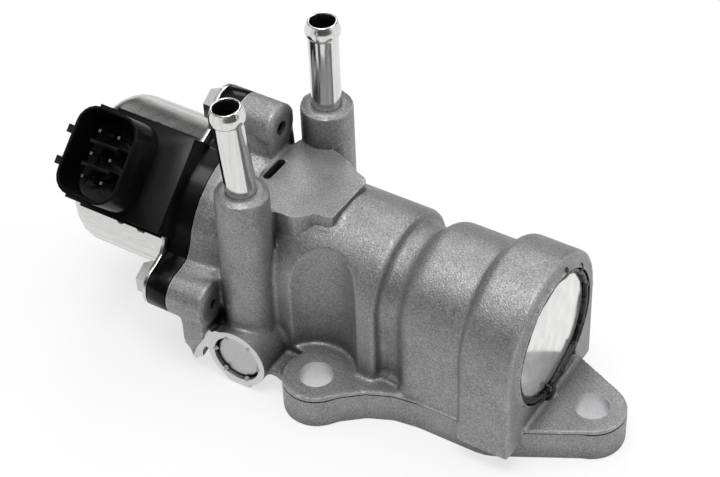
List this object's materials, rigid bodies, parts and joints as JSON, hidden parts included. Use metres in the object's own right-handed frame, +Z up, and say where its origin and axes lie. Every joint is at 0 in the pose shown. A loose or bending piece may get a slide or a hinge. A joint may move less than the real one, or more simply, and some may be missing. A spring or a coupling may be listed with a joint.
{
  "type": "exhaust gas recirculation valve",
  "caption": "Water-cooled exhaust gas recirculation valve: cast aluminium body on a two-bolt flange, poppet valve inside, stepper motor in a steel can with a plug-in connector.",
  "frame": {"origin": "on the machined mounting face, midway between the two bolt holes along X and below the valve axis", "axes": "+Z up out of the mounting face, +X along the valve axis from the motor to the closed end of the gas chamber"},
  "size_m": [0.1551, 0.0611, 0.0858],
  "materials": {
    "cast_aluminium": "as cast, matt, with machined faces",
    "plated_steel": "bright plated",
    "steel": "satin",
    "black_plastic": "black, glass filled, satin",
    "rubber": "black",
    "brass": "plain",
    "winding": "enamelled copper wire",
    "magnet": "dark sintered"
  },
  "bodies": {
    "body": {"valve_body": "cast_aluminium", "coolant_nipple_front": "plated_steel", "coolant_nipple_rear": "plated_steel", "coolant_core_plug": "plated_steel", "end_plug": "plated_steel", "end_sealant": "rubber", "valve_seat": "steel", "stem_bush": "brass", "stem_shield": "steel", "return_spring": "steel", "motor_o_ring": "rubber", "motor_can": "plated_steel", "motor_housing": "black_plastic", "terminal_pin_1": "brass", "terminal_pin_2": "brass", "terminal_pin_3": "brass", "terminal_pin_4": "brass", "terminal_pin_5": "brass", "terminal_pin_6": "brass", "screw_sleeve_top": "steel", "screw_sleeve_front": "steel", "screw_sleeve_rear": "steel", "motor_screw_top": "steel", "motor_screw_front": "steel", "motor_screw_rear": "steel", "coil_bobbin_rear": "black_plastic", "coil_bobbin_front": "black_plastic", "coil_winding_rear": "winding", "coil_winding_front": "winding", "rear_bush": "brass", "bearing_outer_race": "steel"},
    "rotor": {"rotor_magnet": "magnet", "rotor_hub": "black_plastic", "bearing_inner_race": "steel"},
    "spindle": {"lead_screw": "steel"},
    "valve": {"poppet_valve": "steel", "spring_retainer": "steel"}
  },
  "joints": [
    {"name": "rotor_spin", "type": "hinge", "parent": "body", "child": "rotor", "pos_m": [-0.1, 0, 0.03], "axis": [-1, 0, 0], "range_deg": [0, 780]},
    {"name": "spindle_slide", "type": "slide", "parent": "body", "child": "spindle", "axis": [1, 0, 0], "range_m": [0, 0.0045]},
    {"name": "valve_slide", "type": "slide", "parent": "body", "child": "valve", "axis": [1, 0, 0], "range_m": [0, 0.0045], "deforming": ["return_spring"]}
  ],
  "couplings": [
    {"joint": "spindle_slide", "follows": "rotor_spin", "m_per_rad": 0.00033},
    {"joint": "valve_slide", "follows": "rotor_spin", "m_per_rad": 0.00033}
  ]
}
